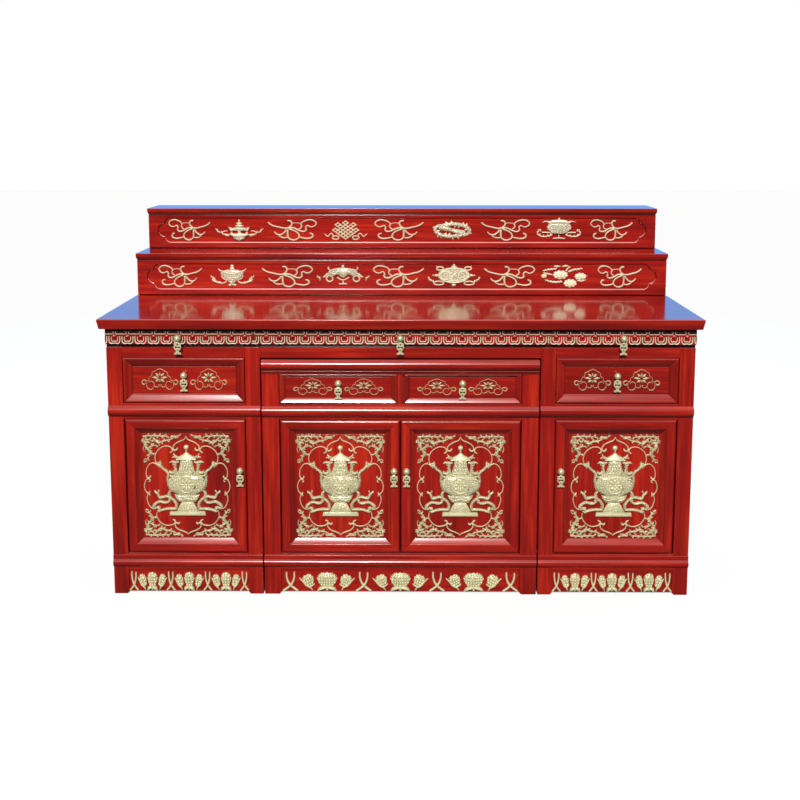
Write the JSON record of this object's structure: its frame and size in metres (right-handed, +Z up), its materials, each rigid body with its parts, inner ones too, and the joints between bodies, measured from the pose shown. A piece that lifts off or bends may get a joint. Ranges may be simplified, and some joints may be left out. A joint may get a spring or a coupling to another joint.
{
  "type": "altar cabinet",
  "caption": "Altar table whose pedestals hold doors and drawers, with a pull-out cabinet in its bay, drawers in its frieze, raised steps at the back and swinging drop pulls.",
  "frame": {"origin": "middle of the whole object's footprint, on the floor that it stands on", "axes": "+Z up; +X to the right of a person who faces the doors; -Y out of the front"},
  "size_m": [2.18, 1.073, 1.386],
  "materials": {
    "red_lacquer": "glossy red lacquer over wood, with the grain showing as orange streaks",
    "back_lacquer": "thin, satin dark red lacquer over wood",
    "bare_wood": "bare planed wood",
    "gilt_brass": "polished, pale gilt"
  },
  "bodies": {
    "cabinet": {"table_top": "red_lacquer", "outer_sides": "red_lacquer", "inner_sides": "red_lacquer", "face_rails": "red_lacquer", "waist_mouldings": "red_lacquer", "base_mouldings": "red_lacquer", "aprons": "red_lacquer", "inner_boards": "bare_wood", "back_panels": "back_lacquer", "lower_step_case": "red_lacquer", "lower_step_top": "red_lacquer", "upper_step_case": "red_lacquer", "upper_step_top": "red_lacquer"},
    "centre_cabinet": {"centre_top": "red_lacquer", "centre_sides": "red_lacquer", "centre_rails": "red_lacquer", "centre_mouldings": "red_lacquer", "centre_apron": "red_lacquer", "centre_boards": "bare_wood"},
    "frieze_drawer_left": {"frieze_front_left": "red_lacquer", "frieze_tray_left": "bare_wood", "boss_frieze_left": "gilt_brass"},
    "frieze_drawer_centre": {"frieze_front_centre": "red_lacquer", "frieze_tray_centre": "bare_wood", "boss_frieze_centre": "gilt_brass"},
    "frieze_drawer_right": {"frieze_front_right": "red_lacquer", "frieze_tray_right": "bare_wood", "boss_frieze_right": "gilt_brass"},
    "side_drawer_left": {"drawer_front_left": "red_lacquer", "drawer_box_left": "bare_wood", "boss_drawer_left": "gilt_brass"},
    "centre_drawer_left": {"centre_drawer_front_left": "red_lacquer", "centre_drawer_box_left": "bare_wood", "boss_centre_drawer_left": "gilt_brass"},
    "side_door_left": {"door_left": "red_lacquer", "boss_door_left": "gilt_brass"},
    "centre_door_leaf_left": {"centre_door_left": "red_lacquer", "boss_centre_door_left": "gilt_brass"},
    "side_drawer_right": {"drawer_front_right": "red_lacquer", "drawer_box_right": "bare_wood", "boss_drawer_right": "gilt_brass"},
    "centre_drawer_right": {"centre_drawer_front_right": "red_lacquer", "centre_drawer_box_right": "bare_wood", "boss_centre_drawer_right": "gilt_brass"},
    "side_door_right": {"door_right": "red_lacquer", "boss_door_right": "gilt_brass"},
    "centre_door_leaf_right": {"centre_door_right": "red_lacquer", "boss_centre_door_right": "gilt_brass"},
    "pull_frieze_centre": {"drop_frieze_centre": "gilt_brass"},
    "pull_frieze_left": {"drop_frieze_left": "gilt_brass"},
    "pull_frieze_right": {"drop_frieze_right": "gilt_brass"},
    "pull_drawer_left": {"drop_drawer_left": "gilt_brass"},
    "pull_drawer_right": {"drop_drawer_right": "gilt_brass"},
    "pull_door_left": {"drop_door_left": "gilt_brass"},
    "pull_door_right": {"drop_door_right": "gilt_brass"},
    "pull_centre_drawer_left": {"drop_centre_drawer_left": "gilt_brass"},
    "pull_centre_drawer_right": {"drop_centre_drawer_right": "gilt_brass"},
    "pull_centre_door_left": {"drop_centre_door_left": "gilt_brass"},
    "pull_centre_door_right": {"drop_centre_door_right": "gilt_brass"}
  },
  "joints": [
    {"name": "centre_cabinet_slide", "type": "slide", "parent": "cabinet", "child": "centre_cabinet", "axis": [0, -1, 0], "range_m": [0, 0.7]},
    {"name": "frieze_drawer_left_slide", "type": "slide", "parent": "cabinet", "child": "frieze_drawer_left", "axis": [0, -1, 0], "range_m": [0, 0.45]},
    {"name": "frieze_drawer_centre_slide", "type": "slide", "parent": "cabinet", "child": "frieze_drawer_centre", "axis": [0, -1, 0], "range_m": [0, 0.45]},
    {"name": "frieze_drawer_right_slide", "type": "slide", "parent": "cabinet", "child": "frieze_drawer_right", "axis": [0, -1, 0], "range_m": [0, 0.45]},
    {"name": "side_drawer_left_slide", "type": "slide", "parent": "cabinet", "child": "side_drawer_left", "axis": [0, -1, 0], "range_m": [0, 0.58]},
    {"name": "centre_drawer_left_slide", "type": "slide", "parent": "centre_cabinet", "child": "centre_drawer_left", "axis": [0, -1, 0], "range_m": [0, 0.5]},
    {"name": "side_door_left_hinge", "type": "hinge", "parent": "cabinet", "child": "side_door_left", "pos_m": [-0.999, -0.4865, 0.413], "axis": [0, 0, -1], "range_deg": [0, 95]},
    {"name": "centre_door_leaf_left_hinge", "type": "hinge", "parent": "centre_cabinet", "child": "centre_door_leaf_left", "pos_m": [-0.431, -0.4865, 0.413], "axis": [0, 0, -1], "range_deg": [0, 95]},
    {"name": "side_drawer_right_slide", "type": "slide", "parent": "cabinet", "child": "side_drawer_right", "axis": [0, -1, 0], "range_m": [0, 0.58]},
    {"name": "centre_drawer_right_slide", "type": "slide", "parent": "centre_cabinet", "child": "centre_drawer_right", "axis": [0, -1, 0], "range_m": [0, 0.5]},
    {"name": "side_door_right_hinge", "type": "hinge", "parent": "cabinet", "child": "side_door_right", "pos_m": [0.999, -0.4865, 0.413], "axis": [0, 0, 1], "range_deg": [0, 95]},
    {"name": "centre_door_leaf_right_hinge", "type": "hinge", "parent": "centre_cabinet", "child": "centre_door_leaf_right", "pos_m": [0.431, -0.4865, 0.413], "axis": [0, 0, 1], "range_deg": [0, 95]},
    {"name": "pull_frieze_centre_swing", "type": "hinge", "parent": "frieze_drawer_centre", "child": "pull_frieze_centre", "pos_m": [0, -0.5207, 0.9555], "axis": [-1, 0, 0], "range_deg": [0, 85]},
    {"name": "pull_frieze_left_swing", "type": "hinge", "parent": "frieze_drawer_left", "child": "pull_frieze_left", "pos_m": [-0.8025, -0.5207, 0.9555], "axis": [-1, 0, 0], "range_deg": [0, 85]},
    {"name": "pull_frieze_right_swing", "type": "hinge", "parent": "frieze_drawer_right", "child": "pull_frieze_right", "pos_m": [0.8025, -0.5207, 0.9555], "axis": [-1, 0, 0], "range_deg": [0, 85]},
    {"name": "pull_drawer_left_swing", "type": "hinge", "parent": "side_drawer_left", "child": "pull_drawer_left", "pos_m": [-0.7875, -0.4995, 0.8145], "axis": [-1, 0, 0], "range_deg": [0, 85]},
    {"name": "pull_drawer_right_swing", "type": "hinge", "parent": "side_drawer_right", "child": "pull_drawer_right", "pos_m": [0.7875, -0.4995, 0.8145], "axis": [-1, 0, 0], "range_deg": [0, 85]},
    {"name": "pull_door_left_swing", "type": "hinge", "parent": "side_door_left", "child": "pull_door_left", "pos_m": [-0.588, -0.5105, 0.4605], "axis": [-1, 0, 0], "range_deg": [0, 85]},
    {"name": "pull_door_right_swing", "type": "hinge", "parent": "side_door_right", "child": "pull_door_right", "pos_m": [0.588, -0.5105, 0.4605], "axis": [-1, 0, 0], "range_deg": [0, 85]},
    {"name": "pull_centre_drawer_left_swing", "type": "hinge", "parent": "centre_drawer_left", "child": "pull_centre_drawer_left", "pos_m": [-0.226, -0.5025, 0.787], "axis": [-1, 0, 0], "range_deg": [0, 85]},
    {"name": "pull_centre_drawer_right_swing", "type": "hinge", "parent": "centre_drawer_right", "child": "pull_centre_drawer_right", "pos_m": [0.226, -0.5025, 0.787], "axis": [-1, 0, 0], "range_deg": [0, 85]},
    {"name": "pull_centre_door_left_swing", "type": "hinge", "parent": "centre_door_leaf_left", "child": "pull_centre_door_left", "pos_m": [-0.023, -0.5105, 0.4595], "axis": [-1, 0, 0], "range_deg": [0, 85]},
    {"name": "pull_centre_door_right_swing", "type": "hinge", "parent": "centre_door_leaf_right", "child": "pull_centre_door_right", "pos_m": [0.023, -0.5105, 0.4595], "axis": [-1, 0, 0], "range_deg": [0, 85]}
  ]
}
